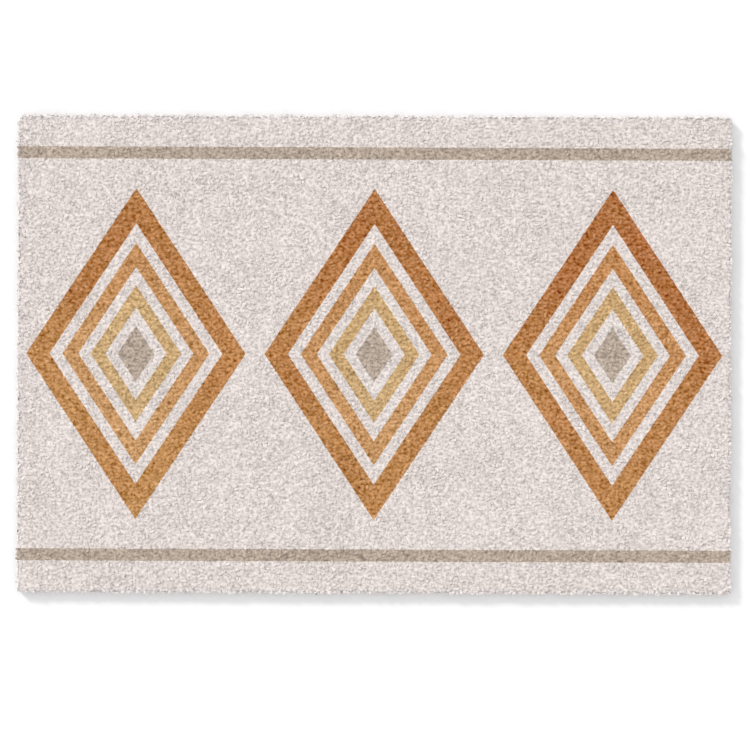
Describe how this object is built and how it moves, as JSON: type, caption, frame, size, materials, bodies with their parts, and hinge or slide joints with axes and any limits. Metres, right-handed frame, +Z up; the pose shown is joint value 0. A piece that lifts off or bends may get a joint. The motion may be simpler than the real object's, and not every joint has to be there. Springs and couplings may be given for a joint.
{
  "type": "doormat",
  "caption": "Rectangular doormat of short curly cream pile with small rounded corners, printed with nested lozenges and plain border stripes, lying flat on its underside.",
  "frame": {"origin": "middle of the flat underside", "axes": "+X along the long side, +Y along the short side towards the picture's top edge, +Z up through the pile"},
  "size_m": [0.7628, 0.511, 0.0114],
  "materials": {
    "pile": "matt short curly pile, cream, with a burnt orange, ochre, gold and taupe print"
  },
  "bodies": {
    "root": {"mat": "pile"}
  },
  "joints": []
}
